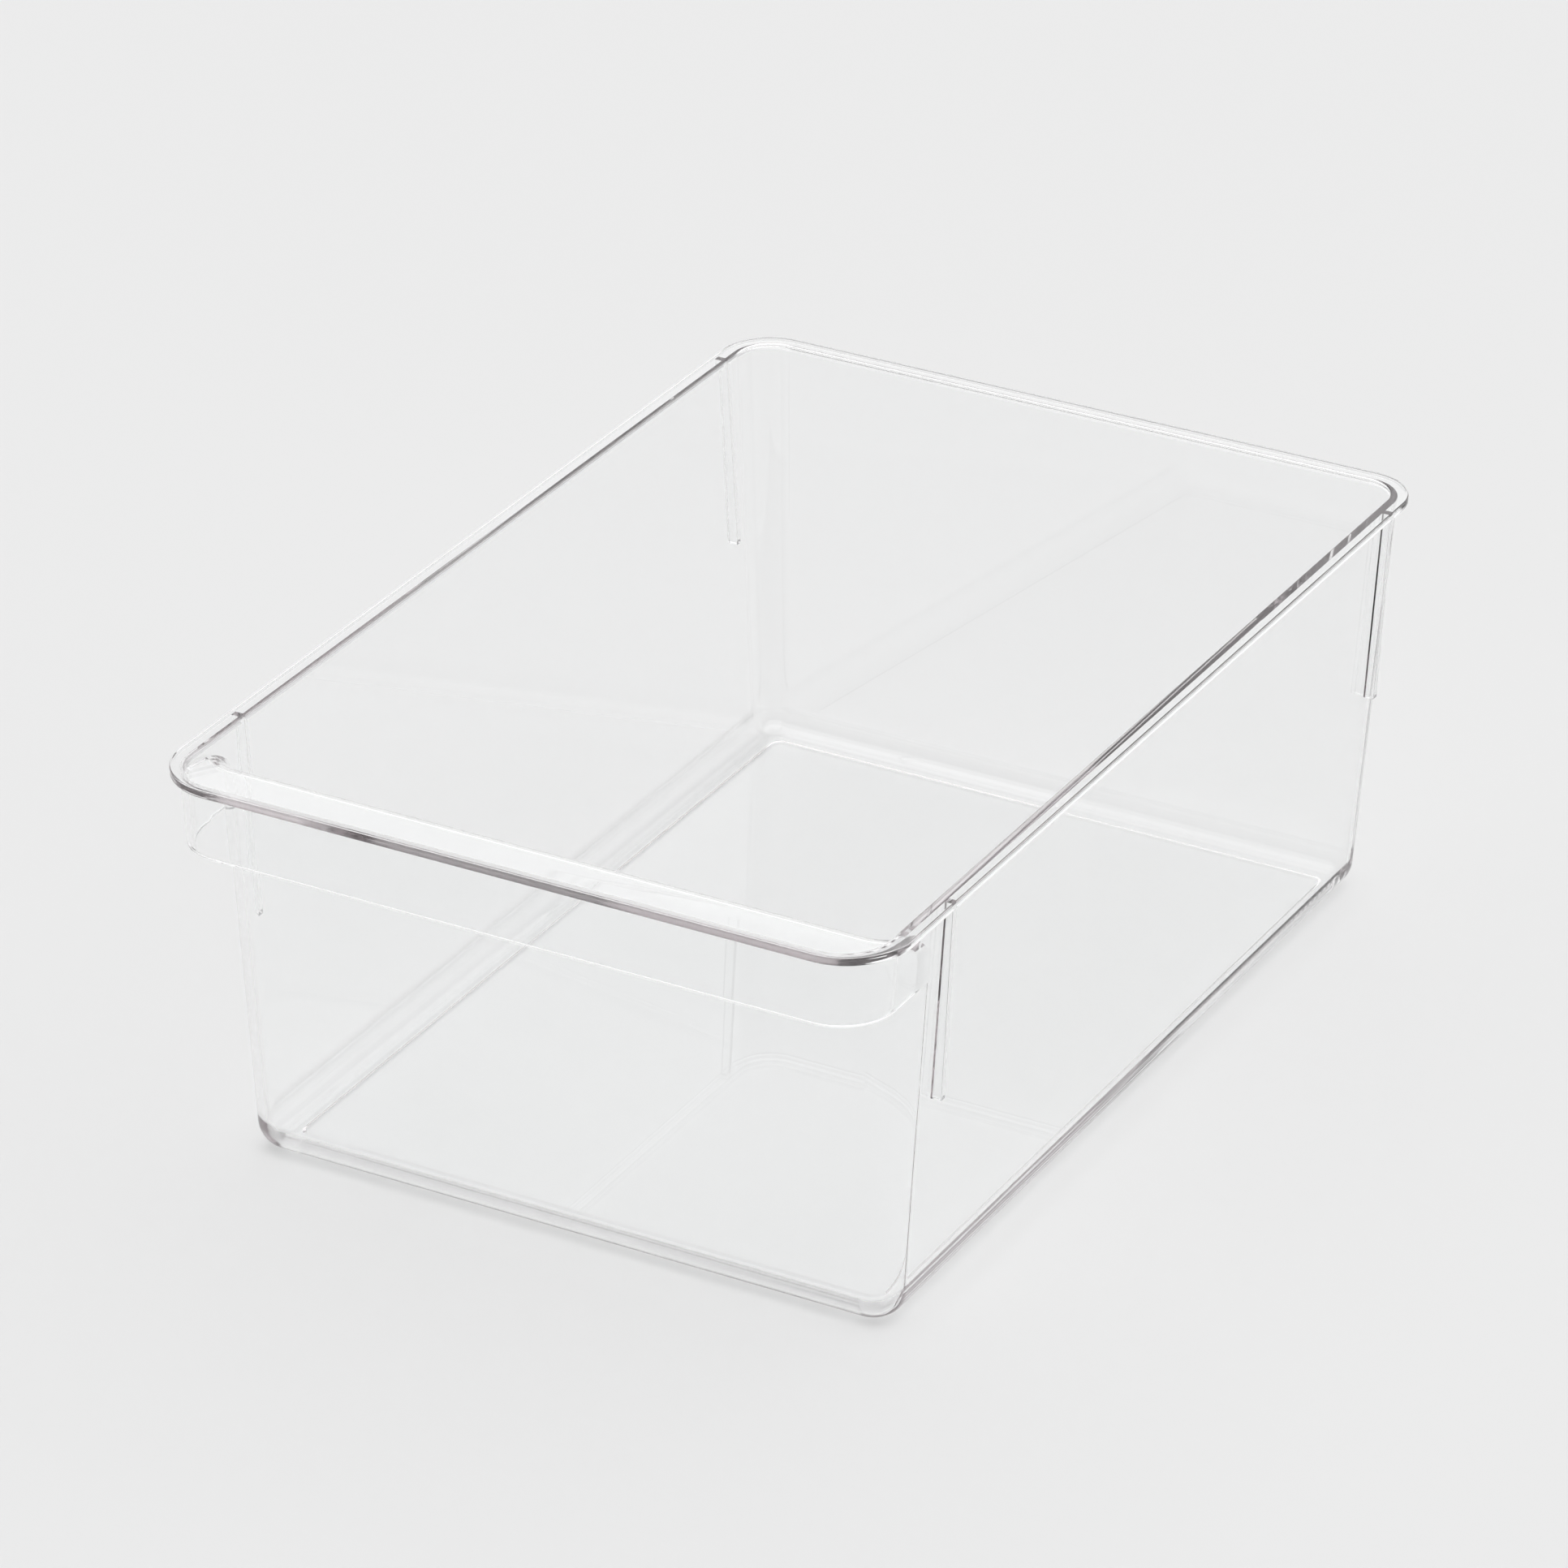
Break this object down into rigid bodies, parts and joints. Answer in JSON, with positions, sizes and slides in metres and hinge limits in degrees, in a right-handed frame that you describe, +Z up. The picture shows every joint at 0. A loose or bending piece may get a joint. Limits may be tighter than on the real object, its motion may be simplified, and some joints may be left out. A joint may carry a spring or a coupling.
{
  "type": "fridge bin",
  "caption": "Clear open-top storage bin with drafted walls, flat rim flange, ribbed long sides and a front ledge with a hanging apron as a finger pull.",
  "frame": {"origin": "centre of the overall box, on the plane the foot stands on", "axes": "+X across the width to the right, +Y along the depth to the back wall, +Z up; the handle is on -Y"},
  "size_m": [0.254, 0.378, 0.144],
  "materials": {
    "clear_plastic": "colourless transparent injection-moulded plastic, polished all over"
  },
  "bodies": {
    "root": {"bin_shell": "clear_plastic"}
  },
  "joints": []
}
